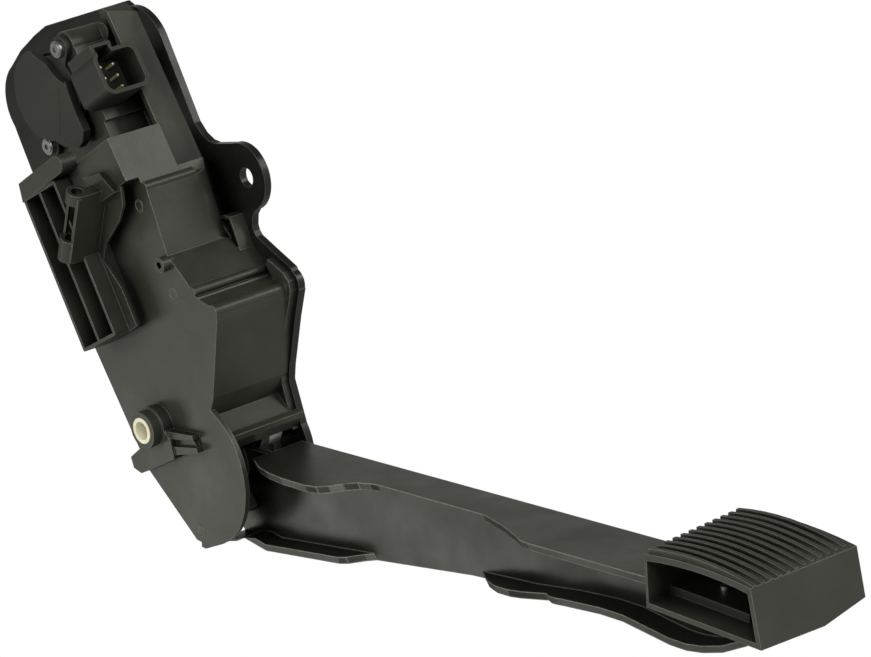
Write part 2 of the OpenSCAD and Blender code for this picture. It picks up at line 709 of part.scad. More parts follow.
// What lies below the bevel along the far side of the sole
module pad_bevel(inset) {
    along_x(tongue_u + 4.5, pad_len + 12)
        polygon([[-26 - 20, inset - 10], [-26, inset], [0, inset + 5.9], [0, inset - 10]]);
}

module pad_frame() {
    translate([pad_at[0], 0, pad_at[1]]) rotate([0, pad_slope, 0]) children();
}

module pedal_pad() {
    color("#33342f") pad_frame() difference() {
        union() {
            difference() {
                union() {
                    for (i = [0 : tread_count]) {
                        y = pad_y0 + i * tread_pitch;
                        lift = pad_lift * i / tread_count;
                        side(y, min(y + tread_pitch, pad_y0 + pad_w))
                            pad_section(0, pad_h + lift, 0, pad_len + 8);
                        if (i < tread_count)
                            side(y + tread_gap, y + tread_gap + 1.8)
                                pad_section(pad_h - 2, pad_h + lift + tread_h, 1.2, pad_len - 2.8);
                    }
                }
                difference() {
                    side(pad_y0 - 1, pad_y0 + pad_w - pad_t)
                        pad_section(pad_t, pad_h - pad_t - 0.5, 1.2, pad_len + 6);
                    pad_front(pad_t);
                    pad_bevel(pad_t);
                }
                pad_front(0);
                pad_bevel(0);
            }
            // the pocket over the arm's tongue
            translate([0.5, -46, 0.5]) cube([tongue_u + 3, 34, tongue_z + arm_t + 2]);
        }
        translate([-5, -41 - fit / 2, -1]) cube([tongue_u + 5 + fit, 24 + fit, tongue_z + arm_t + fit / 2 + 1]);
        translate([20, -34.5, 0]) cylinder(d = 4.2, h = 9);
    }
}

module pad_screw() {
    color("#9a9ea2") pad_frame() union() {
        translate([20, -34.5, tongue_z - 1.9]) cylinder(r = 3.6, h = 1.8);
        translate([20, -34.5, tongue_z - 1]) cylinder(r = 2, h = 8);
    }
}

// Rounded outline (y, z) of the connector socket
module socket_outline(inset) {
    translate([socket_y0 + socket_w / 2, socket_z0 + socket_h / 2])
        round_box(socket_w - 2 * inset, socket_h - 2 * inset, 5 - inset);
}

// Raised channel on top of the socket for the plug's latch
module latch_outline(inset) {
    translate([socket_y0 + 1.6 + inset, socket_z0 + socket_h - 4]) square([11 - 2 * inset, 7.6 - inset]);
}

module along_x(x0, x1) {
    translate([x0, 0, 0]) rotate([90, 0, 90]) linear_extrude(height = x1 - x0) children();
}

module sensor_body() {
    color("#50514d") difference() {
        union() {
            side(flange_y - flange_t, flange_y) flange_outline(0);
            bar(sensor, 14, flange_y, flange_y + 6);
            translate([socket_x0 - 9, flange_y - flange_t, socket_z0 + 4]) cube([10, flange_t, socket_h - 8]);
            along_x(socket_x0, socket_x1) socket_outline(0);
            along_x(socket_x0, socket_x1 - 0.8) latch_outline(0);
        }
        along_x(socket_x0 + socket_wall, socket_x1 + 1) socket_outline(socket_t);
        along_x(socket_x0 + socket_wall, socket_x1 + 1) latch_outline(1.6);
        bar(sensor, 11.3, flange_y - flange_t - 1, flange_y + 1.5);
        bar(sensor, 4.05, flange_y - 8, flange_y + 8);
        for (p = screw_at) bar(p, 2.2, flange_y - flange_t - 1, flange_y + 1);
        // groove for the seal
        difference() {
            bar(sensor, 15, flange_y + 1.2, flange_y + 2.4);
            bar(sensor, 13, flange_y, flange_y + 4);
        }
        for (p = terminal_at) translate([socket_x0 - 1, p[0], p[1]]) rotate([0, 90, 0]) cylinder(r = 0.75, h = 9);
    }
}

terminal_at = [for (col = [0, 1], row = [0 : 2]) [socket_y0 + 8.5 + col * 7, socket_z0 + 5 + row * 5.4]];

module sensor_terminals() {
    color("#d8c48a") for (p = terminal_at) union() {
        translate([socket_x0 + 0.5, p[0], p[1]]) rotate([0, 90, 0]) cylinder(r = 0.72, h = 11.5);
        translate([socket_x0 + 12, p[0], p[1]]) sphere(r = 0.72);
    }
}

// Outline of the sensor's cap: round, cut straight beside the upper screw, with a drawn-out lower corner
cap_at = [-70.2, 77.6];
module cap_cuts(inset) {
    polygon([[-66 - inset, 100], [-62.6 - inset, 94], [-57.7 - inset, 88.3], [-54.4 - inset, 80.2],
        [-50.4 - inset, 75.5], [-40, 80], [-45, 102]]);
    translate(screw_at[1]) circle(r = 4.8 + inset);
}

// The cap from y0 to y1, as a round part and its drawn-out corner
module cap_form(y0, y1, inset) {
    union() {
        side(y0, y1) difference() {
            translate(cap_at) circle(r = cap_r - inset);
            cap_cuts(inset);
        }
        side(y0, y1) difference() {
            polygon([[-80, 72], [-66, 84], [-57.2 - inset, 83], [-49.6 - inset, 75], [-51.4 - inset, 62],
                [-51.4 - inset, 52.5 + inset], [-55.5 - inset, 48.6 + inset], [-60, 47.6 + inset],
                [-71, 52.8 + inset], [-78, 60.5 + inset]]);
            cap_cuts(inset);
        }
    }
}

module sensor_cap() {
    color("#5b5c57") difference() {
        cap_form(flange_y - flange_t - cap_t, flange_y - flange_t, 0);
        cap_form(flange_y - flange_t - 2.4, flange_y, 2);
        // shallow bent line on the face
        side(flange_y - flange_t - cap_t - 1, flange_y - flange_t - cap_t + 0.3)
            polygon([[-56.4, 76], [-60.2, 69], [-70, 58.2], [-68.2, 54.6], [-62.5, 52.4], [-62.3, 52.9],
                [-67.8, 55.1], [-69.4, 58], [-59.7, 68.6], [-55.8, 75.8]]);
    }
}

module sensor_board() {
    color("#2f5a3a") difference() {
        cap_form(flange_y - flange_t - 1.6, flange_y - flange_t - 0.4, 2.4);
        bar(sensor, 3, flange_y - flange_t - 2, flange_y - flange_t);
    }
}

module sensor_screws() {
    color("#c9ccd0") for (p = screw_at) difference() {
        union() {
            bar(p, 1.7, flange_y - flange_t, flange_y + 8);
            bar(p, 3.9, flange_y - flange_t - 2.2, flange_y - flange_t);
            bar(p, 3.2, flange_y - flange_t - 2.8, flange_y - flange_t);
        }
        translate([p[0], flange_y - flange_t - 3, p[1]]) rotate([-90, 0, 0]) cylinder(r = 1.5, h = 1.6, $fn = 6);
    }
}

module sensor_seal() {
    color("#1d1d1d") translate([sensor[0], flange_y + 1.8, sensor[1]]) rotate([90, 0, 0])
        rotate_extrude() translate([13.6, 0]) circle(r = 0.55, $fn = 24);
}

module sensor_rotor() {
    color("#6b6c68") difference() {
        union() {
            bar(sensor, 4, flange_y - 0.5, -18.5);
            bar(sensor, 10.8, flange_y - 2.4, flange_y + 1.2);
        }
        bar(sensor, 7.5, flange_y - 3, flange_y - 0.6);
    }
}

module rotor_magnet() {
    color("#77797c") bar(sensor, 7.45, flange_y - 2.4, flange_y - 0.6);
}

module sensor_lever() {
    color("#8d9195") difference() {
        union() {
            side(-22.5, eye_y0 - 0.5) crank_outline(sensor);
            bar([link_x, link_z1], link_pin_d / 2, -22.5, eye_y1 + 2.2);
        }
        bar(sensor, 4.01, -40, 0);
        clip_groove(link_z1);
    }
}

mounting_plate();
plate_screws();
housing();
harness_clip_holder();
compression_sleeve();
pivot_pin();
pivot_bushes();
thrust_washers();
pedal_arm();
pedal_pad();
pad_screw();
friction_shoe();
friction_spring();
idle_bumper();
full_travel_bumper();
link_rod();
crank_clip();
lever_clip();
spring_seat();
spring_cap();
return_spring_outer();
return_spring_inner();
sensor_body();
sensor_cap();
sensor_board();
sensor_terminals();
sensor_screws();
sensor_seal();
sensor_rotor();
rotor_magnet();
sensor_lever();
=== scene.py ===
"""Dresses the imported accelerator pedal: finishes, small moulded forms, studio and camera."""

import logging
import math
from dataclasses import dataclass, field

import bmesh
import bpy
from mathutils import Matrix, Vector


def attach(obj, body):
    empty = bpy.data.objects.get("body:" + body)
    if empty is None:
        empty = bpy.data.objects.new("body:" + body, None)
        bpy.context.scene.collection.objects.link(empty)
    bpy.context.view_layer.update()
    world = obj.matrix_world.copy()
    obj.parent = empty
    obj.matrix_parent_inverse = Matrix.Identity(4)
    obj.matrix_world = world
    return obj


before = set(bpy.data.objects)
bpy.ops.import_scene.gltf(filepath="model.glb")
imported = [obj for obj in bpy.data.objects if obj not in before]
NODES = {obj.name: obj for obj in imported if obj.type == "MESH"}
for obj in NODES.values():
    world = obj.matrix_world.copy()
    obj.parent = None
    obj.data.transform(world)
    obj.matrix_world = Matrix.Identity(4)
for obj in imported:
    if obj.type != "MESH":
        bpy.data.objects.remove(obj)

LOG = logging.getLogger("pedal")
MM = 0.001
IMAGE_WIDTH_PX = 871

# cosine between the plain and the rounded normal: a flat face above the first, a full edge at the second
FLAT_COSINE = 0.995
EDGE_COSINE = 0.86
# share of open space round a spot: the painted shade is darkest at the first, and there is none from the
# second on
HOLLOW_SHARE = 0.36
OPEN_SHARE = 0.85

Place = tuple[float, float, float]
Names = tuple[str, ...]


def linear(hex_colour: str) -> tuple[float, float, float, float]:
    """Turns an sRGB hex colour into the linear colour that Blender's sockets take.

    Args:
        hex_colour: Six hex digits, with or without a leading hash sign.

    Returns:
        The linear red, green, blue and an alpha of one.
    """
    digits = hex_colour.lstrip("#")
    values = [int(digits[i:i + 2], 16) / 255 for i in (0, 2, 4)]
    parts = [v / 12.92 if v <= 0.04045 else ((v + 0.055) / 1.055) ** 2.4 for v in values]
    return parts[0], parts[1], parts[2], 1.0


def pattern_scale(size_mm: float) -> float:
    """Gives the texture scale at which one lump of a pattern has a size in millimetres.

    Args:
        size_mm: Size of one lump.

    Returns:
        The scale for coordinates in metres.
    """
    return 1 / (size_mm * MM)


def add_node(tree: bpy.types.NodeTree, kind: str, settings: dict | None = None,
             links: dict | None = None) -> bpy.types.Node:
    """Adds one node with its settings and its incoming links.

    Args:
        tree: The node tree that takes the node.
        kind: Blender's name of the node's type.
        settings: Values by input name or number, or by the node's own attribute.
        links: Output sockets by input name or number.

    Returns:
        The new node.
    """
    node = tree.nodes.new(kind)
    for key, value in (settings or {}).items():
        if isinstance(key, str) and key in node.bl_rna.properties and not node.inputs.get(key):
            setattr(node, key, value)
        else:
            node.inputs[key].default_value = value
    for key, socket in (links or {}).items():
        tree.links.new(socket, node.inputs[key])
    return node


def new_material(name: str) -> tuple[bpy.types.Material, bpy.types.NodeTree, bpy.types.Node]:
    """Makes an empty material with its surface shader.

    Args:
        name: What the real material is.

    Returns:
        The material, its node tree and its surface shader.
    """
    material = bpy.data.materials.new(name)
    material.use_nodes = True
    tree = material.node_tree
    tree.nodes.clear()
    shader = add_node(tree, "ShaderNodeBsdfPrincipled")
    add_node(tree, "ShaderNodeOutputMaterial", links={"Surface": shader.outputs[0]})
    return material, tree, shader


def edge_mask(tree: bpy.types.NodeTree, rounded: bpy.types.NodeSocket) -> bpy.types.NodeSocket:
    """Finds the sharp edges of a piece from the difference of its plain and its rounded normal.

    Args:
        tree: The material's node tree.
        rounded: The rounded normal.

    Returns:
        A mask that is one on the edges and zero on flat faces.
    """
    plain = add_node(tree, "ShaderNodeNewGeometry")
    same = add_node(tree, "ShaderNodeVectorMath", {"operation": "DOT_PRODUCT"},
                    {0: rounded, 1: plain.outputs["Normal"]})
    mask = add_node(tree, "ShaderNodeMapRange",
                    {"From Min": FLAT_COSINE, "From Max": EDGE_COSINE, "To Min": 0.0, "To Max": 1.0},
                    {"Value": same.outputs["Value"]})
    return mask.outputs[0]


def add_painted_shade(tree: bpy.types.NodeTree, colour: bpy.types.NodeSocket, amount: float,
           reach_mm: float) -> bpy.types.NodeSocket:
    """Darkens a colour in hollows and inner corners: painted shade, where less light reaches.

    Args:
        tree: The material's node tree.
        colour: The clean colour.
        amount: How much darker the deepest hollow is, from zero to one.
        reach_mm: How far apart the walls of a hollow may stand.

    Returns:
        The output socket with the colour darkened by the painted shade.
    """
    near = add_node(tree, "ShaderNodeAmbientOcclusion", {"samples": 8, "Distance": reach_mm * MM})
    kept = add_node(tree, "ShaderNodeMapRange",
                    {"From Min": HOLLOW_SHARE, "From Max": OPEN_SHARE,
                     "To Min": 1 - amount, "To Max": 1.0},
                    {"Value": near.outputs["AO"]})
    darker = add_node(tree, "ShaderNodeVectorMath", {"operation": "SCALE"},
                      {0: colour, "Scale": kept.outputs[0]})
    return darker.outputs[0]


@dataclass(frozen=True)
class Finish:
    """A real material with the way its surface was made; each kind builds its own nodes."""

    name: str
    colour: str

    def build(self) -> bpy.types.Material:
        """Builds the material; each kind of finish has its own."""
        raise NotImplementedError

    def material(self) -> bpy.types.Material:
        """Gives the finish's material, built the first time that it is asked for."""
        return bpy.data.materials.get(self.name) or self.build()


@dataclass(frozen=True)
class MouldedPlastic(Finish):
    """Plastic or rubber from a steel mould: grainy and cloudy, with paler edges that are partly rubbed
    wear and partly painted highlight, and painted shade in hollows.
    """

    patch_colour: str
    edge_colour: str
    roughness: float = 0.5
    duller: float = 0.08
    glossier: float = 0.07
    grain_mm: float = 1.0
    grain_depth_mm: float = 0.05
    patch_mm: float = 30.0
    edge_mm: float = 0.5
    edge_amount: float = 0.6
    wear_and_highlight_mm: float = 2.4
    # painted shade in hollows: how much darker at its deepest, and how far it reaches
    hollow_shade: float = 0.88
    shade_reach_mm: float = 14.0
    wave_mm: float = 17.0
    wave_depth_mm: float = 0.22
    ior: float = 1.53

    def build(self) -> bpy.types.Material:
        """Builds the material of the finish.

        Returns:
            The new material.
        """
        material, tree, shader = new_material(self.name)
        where = add_node(tree, "ShaderNodeTexCoord").outputs["Object"]
        rounded = add_node(tree, "ShaderNodeBevel",
                           {"samples": 4, "Radius": self.edge_mm * MM}).outputs[0]
        patches = add_node(tree, "ShaderNodeTexNoise",
                           {"Scale": pattern_scale(self.patch_mm), "Detail": 5.0, "Roughness": 0.6},
                           {"Vector": where}).outputs["Fac"]
        spread = add_node(tree, "ShaderNodeMapRange", {"From Min": 0.38, "From Max": 0.66},
                          {"Value": patches})
        base = add_node(tree, "ShaderNodeMix",
                        {"data_type": "RGBA", 6: linear(self.colour), 7: linear(self.patch_colour)},
                        {0: spread.outputs[0]})
        broken = add_node(tree, "ShaderNodeTexNoise",
                          {"Scale": pattern_scale(self.wear_and_highlight_mm), "Detail": 4.0, "Roughness": 0.7},
                          {"Vector": where})
        # pale edge colour: partly rubbed wear, partly painted edge highlight
        wear_and_highlight = add_node(tree, "ShaderNodeMath", {"operation": "MULTIPLY"},
                        {0: edge_mask(tree, rounded), 1: broken.outputs["Fac"]})
        amount = add_node(tree, "ShaderNodeMath", {"operation": "MULTIPLY", 1: 2 * self.edge_amount},
                          {0: wear_and_highlight.outputs[0]})
        worn_and_highlighted = add_node(tree, "ShaderNodeMix", {"data_type": "RGBA", 7: linear(self.edge_colour)},
                        {0: amount.outputs[0], 6: base.outputs[2]})
        # sink marks over the ribs and bosses inside
        waves = add_node(tree, "ShaderNodeTexNoise",
                         {"Scale": pattern_scale(self.wave_mm), "Detail": 2.0, "Roughness": 0.5},
                         {"Vector": where})
        sunk = add_node(tree, "ShaderNodeBump",
                        {"Strength": 1.0, "Distance": self.wave_depth_mm * MM},
                        {"Height": waves.outputs["Fac"], "Normal": rounded})
        # the eroded grain of the mould is finer than a pixel, so it is drawn as coarse as it needs to show
        grain = add_node(tree, "ShaderNodeTexNoise",
                         {"Scale": pattern_scale(self.grain_mm), "Detail": 2.0, "Roughness": 0.5},
                         {"Vector": where})
        bump = add_node(tree, "ShaderNodeBump",
                        {"Strength": 1.0, "Distance": self.grain_depth_mm * MM},
                        {"Height": grain.outputs["Fac"], "Normal": sunk.outputs[0]})
        gloss = add_node(tree, "ShaderNodeMapRange",
                         {"From Min": 0.3, "From Max": 0.7,
                          "To Min": self.roughness - self.glossier,
                          "To Max": self.roughness + self.duller}, {"Value": patches})
        # painted shade in hollows and inner corners, darkening the base colour
        hollow_darkened = add_painted_shade(tree, worn_and_highlighted.outputs[2], self.hollow_shade, self.shade_reach_mm)
        tree.links.new(hollow_darkened, shader.inputs["Base Color"])
        tree.links.new(gloss.outputs[0], shader.inputs["Roughness"])
        tree.links.new(bump.outputs[0], shader.inputs["Normal"])
        shader.inputs["IOR"].default_value = self.ior
        return material


@dataclass(frozen=True)
class CoatedSteel(Finish):
    """Pressed steel with a dip coating: slightly wavy, with a paler sheared edge that is partly a thinner
    coat and partly painted highlight, and painted shade in hollows.
    """

    edge_colour: str
    roughness: float = 0.42
    duller: float = 0.1
    glossier: float = 0.06
    edge_mm: float = 0.4
    wear_and_highlight_mm: float = 3.0
    wave_mm: float = 2.2
    wave_depth_mm: float = 0.03
    cloud_mm: float = 18.0
    # painted shade in hollows: how much darker at its deepest, and how far it reaches
    hollow_shade: float = 0.7
    shade_reach_mm: float = 14.0

    def build(self) -> bpy.types.Material:
        """Builds the material of the finish.

        Returns:
            The new material.
        """
        material, tree, shader = new_material(self.name)
        where = add_node(tree, "ShaderNodeTexCoord").outputs["Object"]
        rounded = add_node(tree, "ShaderNodeBevel",
                           {"samples": 4, "Radius": self.edge_mm * MM}).outputs[0]
        broken = add_node(tree, "ShaderNodeTexNoise",
                          {"Scale": pattern_scale(self.wear_and_highlight_mm), "Detail": 4.0, "Roughness": 0.7},
                          {"Vector": where})
        # pale edge colour: partly a thinner coat on the sheared edge, partly painted edge highlight
        wear_and_highlight = add_node(tree, "ShaderNodeMath", {"operation": "MULTIPLY"},
                        {0: edge_mask(tree, rounded), 1: broken.outputs["Fac"]})
        base = add_node(tree, "ShaderNodeMix",
                        {"data_type": "RGBA", 6: linear(self.colour), 7: linear(self.edge_colour)},
                        {0: wear_and_highlight.outputs[0]})
        waves = add_node(tree, "ShaderNodeTexNoise",
                         {"Scale": pattern_scale(self.wave_mm), "Detail": 2.0, "Roughness": 0.5},
                         {"Vector": where})
        bump = add_node(tree, "ShaderNodeBump",
                        {"Strength": 1.0, "Distance": self.wave_depth_mm * MM},
                        {"Height": waves.outputs["Fac"], "Normal": rounded})
        cloud = add_node(tree, "ShaderNodeTexNoise",
                         {"Scale": pattern_scale(self.cloud_mm), "Detail": 4.0, "Roughness": 0.6},
                         {"Vector": where})
        gloss = add_node(tree, "ShaderNodeMapRange",
                         {"From Min": 0.3, "From Max": 0.7,
                          "To Min": self.roughness - self.glossier,
                          "To Max": self.roughness + self.duller}, {"Value": cloud.outputs["Fac"]})
        # painted shade in hollows and inner corners, darkening the base colour
        hollow_darkened = add_painted_shade(tree, base.outputs[2], self.hollow_shade, self.shade_reach_mm)
        tree.links.new(hollow_darkened, shader.inputs["Base Color"])
        tree.links.new(gloss.outputs[0], shader.inputs["Roughness"])
        tree.links.new(bump.outputs[0], shader.inputs["Normal"])
        return material


@dataclass(frozen=True)
class PlatedMetal(Finish):
    """Plated, turned or drawn metal: fine tool lines under a cloudy passivation."""

    cloud_colour: str
    roughness: float = 0.35
    duller: float = 0.12
    glossier: float = 0.08
    edge_mm: float = 0.25
    cloud_mm: float = 5.0
    line_length_mm: float = 2.0
    line_slimness: float = 8.0
    line_depth_mm: float = 0.012
    metallic: float = 1.0

    def build(self) -> bpy.types.Material:
        """Builds the material of the finish.

        Returns:
            The new material.
        """
        material, tree, shader = new_material(self.name)
        where = add_node(tree, "ShaderNodeTexCoord").outputs["Object"]
        rounded = add_node(tree, "ShaderNodeBevel", {"samples": 4, "Radius": self.edge_mm * MM})
        cloud = add_node(tree, "ShaderNodeTexNoise",
                         {"Scale": pattern_scale(self.cloud_mm), "Detail": 5.0, "Roughness": 0.65},
                         {"Vector": where}).outputs["Fac"]
        spread = add_node(tree, "ShaderNodeMapRange", {"From Min": 0.35, "From Max": 0.68},
                          {"Value": cloud})
        base = add_node(tree, "ShaderNodeMix",
                        {"data_type": "RGBA", 6: linear(self.colour), 7: linear(self.cloud_colour)},
                        {0: spread.outputs[0]})
        # tool lines run round the axes along Y and are finer than a pixel, so they are drawn coarser
        slim = add_node(tree, "ShaderNodeMapping", {"Scale": (1.0, self.line_slimness, 1.0)},
                        {"Vector": where})
        lines = add_node(tree, "ShaderNodeTexNoise",
                         {"Scale": pattern_scale(self.line_length_mm), "Detail": 3.0, "Roughness": 0.6},
                         {"Vector": slim.outputs[0]})
        bump = add_node(tree, "ShaderNodeBump",
                        {"Strength": 1.0, "Distance": self.line_depth_mm * MM},
                        {"Height": lines.outputs["Fac"], "Normal": rounded.outputs[0]})
        gloss = add_node(tree, "ShaderNodeMapRange",
                         {"From Min": 0.3, "From Max": 0.7,
                          "To Min": self.roughness - self.glossier,
                          "To Max": self.roughness + self.duller}, {"Value": cloud})
        tree.links.new(base.outputs[2], shader.inputs["Base Color"])
        tree.links.new(gloss.outputs[0], shader.inputs["Roughness"])
        tree.links.new(bump.outputs[0], shader.inputs["Normal"])
        shader.inputs["Metallic"].default_value = self.metallic
        return material


# every moulded finish below gets paler edges, partly wear and partly painted highlight, and painted shade
# in its hollows
# glass filled polyamide, injection moulded: dark grey with half a gloss, cloudy, edges paler, partly
# rubbed and partly a painted highlight
HOUSING_PLASTIC = MouldedPlastic("glass_filled_polyamide_housing", "#2b2c27", "#373832", "#8e8e86",
                                 roughness=0.38, grain_mm=1.1, edge_amount=0.85)
# unfilled polyamide, injection moulded: as dark and smoother to the eye
HOLDER_PLASTIC = MouldedPlastic("smooth_polyamide_holder", "#292a25", "#31322c", "#8c8c82",
                                roughness=0.4, grain_mm=1.6, grain_depth_mm=0.03)
# polybutylene from a spark eroded mould: nearly black and dull
SENSOR_PLASTIC = MouldedPlastic("polybutylene_sensor_case", "#1f201c", "#272823", "#6f6f66",
                                roughness=0.56, grain_mm=0.9, grain_depth_mm=0.04)
# glass filled polyamide from a polished mould: black and glossy, with pale edges that are partly scuffed
# and partly a painted highlight, and deep painted shade in hollows
ARM_PLASTIC = MouldedPlastic("glass_filled_polyamide_arm", "#191a17", "#22231f", "#a6a69c",
                             roughness=0.33, grain_mm=1.3, grain_depth_mm=0.03,
                             edge_mm=0.8, edge_amount=1.0, shade_reach_mm=20.0)
# compression moulded rubber: dull grey; the ribs' pale edges are partly rubbed and partly a painted
# highlight, and the black inside is painted shade
PAD_RUBBER = MouldedPlastic("moulded_rubber_pad", "#30312c", "#3a3b35", "#8a8a80",
                            roughness=0.55, grain_mm=0.8, edge_amount=0.9,
                            hollow_shade=0.95, shade_reach_mm=26.0)
# soft moulded rubber: dull black
SOFT_RUBBER = MouldedPlastic("soft_rubber_bumper", "#1b1b1a", "#222221", "#3b3b39", roughness=0.7)
# injection moulded acetal: milky cream with a soft gloss
BEARING_PLASTIC = MouldedPlastic("acetal_bearing_plastic", "#d4cebb", "#c6bfaa", "#efeadb",
                                 roughness=0.35, grain_mm=1.5, grain_depth_mm=0.02)
# pressed friction lining: brown and dull
FRICTION_PLASTIC = MouldedPlastic("friction_lining_plastic", "#4b4138", "#5a4e42", "#6f6252",
                                  roughness=0.7)
# glass epoxy board under varnish: green and glossy
BOARD = MouldedPlastic("varnished_circuit_board", "#1f4a2b", "#255634", "#6b7a5c", roughness=0.3)
# pressed steel with a dip coating: glossy black, grey on the sheared edge, partly a thinner coat and
# partly a painted highlight
PLATE_STEEL = CoatedSteel("dip_coated_pressed_steel", "#0f100e", "#7e7f78", roughness=0.3)
# cold headed or turned steel, zinc plated: pale grey and slightly cloudy
ZINC_STEEL = PlatedMetal("zinc_plated_steel", "#b4b7ba", "#9a9da0")
# turned steel under a pale passivation: near white; the coat hides the metal, so it isn't metallic
SLEEVE_STEEL = PlatedMetal("passivated_steel_sleeve", "#f2efda", "#e4e0c8",
                           roughness=0.5, metallic=0.0)
# drawn spring steel, oiled: darker grey with a sharp gloss
SPRING_WIRE = PlatedMetal("oiled_spring_wire", "#6f7276", "#55585c", roughness=0.3)
# stamped brass with a dull tin coat: warm and pale, drawn as partly metallic
TERMINAL_METAL = PlatedMetal("tinned_brass_terminal", "#efe6b8", "#d8cc9a",
                             roughness=0.3, metallic=0.4)
# sintered magnet: dull dark grey, partly metallic
MAGNET = PlatedMetal("sintered_magnet", "#55575a", "#46484b", roughness=0.6, metallic=0.6)


@dataclass(frozen=True)
class Softbox:
    """One large soft lamp with a square face."""

    name: str
    at_m: Place
    aim_m: Place
    side_m: float
    power_w: float

    def build(self, colour: Place) -> None:
        """Adds the lamp to the scene.

        Args:
            colour: The lamp's linear colour.
        """
        data = bpy.data.lights.new(self.name, "AREA")
        data.size = self.side_m
        data.energy = self.power_w
        data.color = colour
        lamp = bpy.data.objects.new(self.name, data)
        lamp.location = self.at_m
        lamp.rotation_mode = "QUATERNION"
        ahead = Vector(self.aim_m) - Vector(self.at_m)
        lamp.rotation_quaternion = ahead.to_track_quat("-Z", "Y")
        bpy.context.scene.collection.objects.link(lamp)


SOFTBOXES = (
    Softbox("key_softbox", (0.35, -1.9, 0.55), (0.0, -0.03, -0.08), 1.1, 22.0),
    Softbox("front_softbox", (1.9, -0.7, 0.3), (0.05, -0.03, -0.1), 0.9, 13.0),
    Softbox("left_softbox", (-1.6, -1.15, -0.04), (-0.03, -0.05, -0.06), 0.6, 2.1),
    Softbox("right_softbox", (1.5, 1.3, 0.3), (0.0, -0.03, -0.02), 0.8, 9.0),
    Softbox("rear_softbox", (-1.2, 1.5, 0.9), (0.0, -0.03, -0.08), 1.2, 1.6),
)


@dataclass
class Studio:
    """Camera at the photograph's place, soft lamps, pale floor and white surroundings."""

    camera_at_mm: Place = (1499.34, -1083.12, -290.72)
    right: Place = (0.5174, 0.7516, -0.4092)
    up: Place = (0.3254, 0.2695, 0.9064)
    focal_px: float = 4238.73
    sensor_mm: float = 36.0
    view_reach_m: float = 50.0
    floor_z_mm: float = -400.0
    floor_reach_m: float = 6.0
    floor_colour: str = "#f2f2f0"
    floor_roughness: float = 0.9
    room_colour: str = "#f4f4ea"
    room_strength: float = 0.2
    lamp_colour: Place = (1.0, 0.995, 0.92)
    softboxes: tuple[Softbox, ...] = SOFTBOXES

    def make_camera(self) -> None:
        """Places the camera with the fitted position, direction and focal length."""
        data = bpy.data.cameras.new("camera")
        data.sensor_fit = "HORIZONTAL"
        data.sensor_width = self.sensor_mm
        data.lens = self.focal_px * self.sensor_mm / IMAGE_WIDTH_PX
        data.clip_end = self.view_reach_m
        camera = bpy.data.objects.new("camera", data)
        bpy.context.scene.collection.objects.link(camera)
        right = Vector(self.right).normalized()
        back = right.cross(Vector(self.up)).normalized()
        up = back.cross(right).normalized()
        turn = Matrix((right, up, back)).transposed().to_4x4()
        camera.matrix_world = Matrix.Translation(Vector(self.camera_at_mm) * MM) @ turn
        bpy.context.scene.camera = camera

    def make_floor(self) -> None:
        """Lays the pale floor, which keeps the object's shadow."""
        reach = self.floor_reach_m
        z = self.floor_z_mm * MM
        corners = [(-reach, -reach, z), (reach, -reach, z), (reach, reach, z), (-reach, reach, z)]
        mesh = bpy.data.meshes.new("floor")
        mesh.from_pydata(corners, [], [(0, 1, 2, 3)])
        floor = bpy.data.objects.new("floor", mesh)
        bpy.context.scene.collection.objects.link(floor)
        material, _, shader = new_material("matt_white_studio_floor")
        shader.inputs["Base Color"].default_value = linear(self.floor_colour)
        shader.inputs["Roughness"].default_value = self.floor_roughness
        mesh.materials.append(material)

    def make_world(self) -> None:
        """Makes surroundings that look white and light the object gently."""
        world = bpy.data.worlds.new("white_room")
        bpy.context.scene.world = world
        world.use_nodes = True
        tree = world.node_tree
        tree.nodes.clear()
        path = add_node(tree, "ShaderNodeLightPath")
        seen = add_node(tree, "ShaderNodeMath", {"operation": "MAXIMUM"},
                        {0: path.outputs["Is Camera Ray"], 1: path.outputs["Is Transmission Ray"]})
        fill = add_node(tree, "ShaderNodeBackground",
                        {"Color": linear(self.room_colour), "Strength": self.room_strength})
        white = add_node(tree, "ShaderNodeBackground", {"Color": linear("#ffffff"), "Strength": 1.0})
        mixed = add_node(tree, "ShaderNodeMixShader",
                         links={0: seen.outputs[0], 1: fill.outputs[0], 2: white.outputs[0]})
        add_node(tree, "ShaderNodeOutputWorld", links={"Surface": mixed.outputs[0]})

    def build(self) -> None:
        """Builds the whole studio."""
        self.make_camera()
        self.make_floor()
        self.make_world()
        for softbox in self.softboxes:
            softbox.build(self.lamp_colour)
        bpy.context.scene.view_settings.view_transform = "Standard"


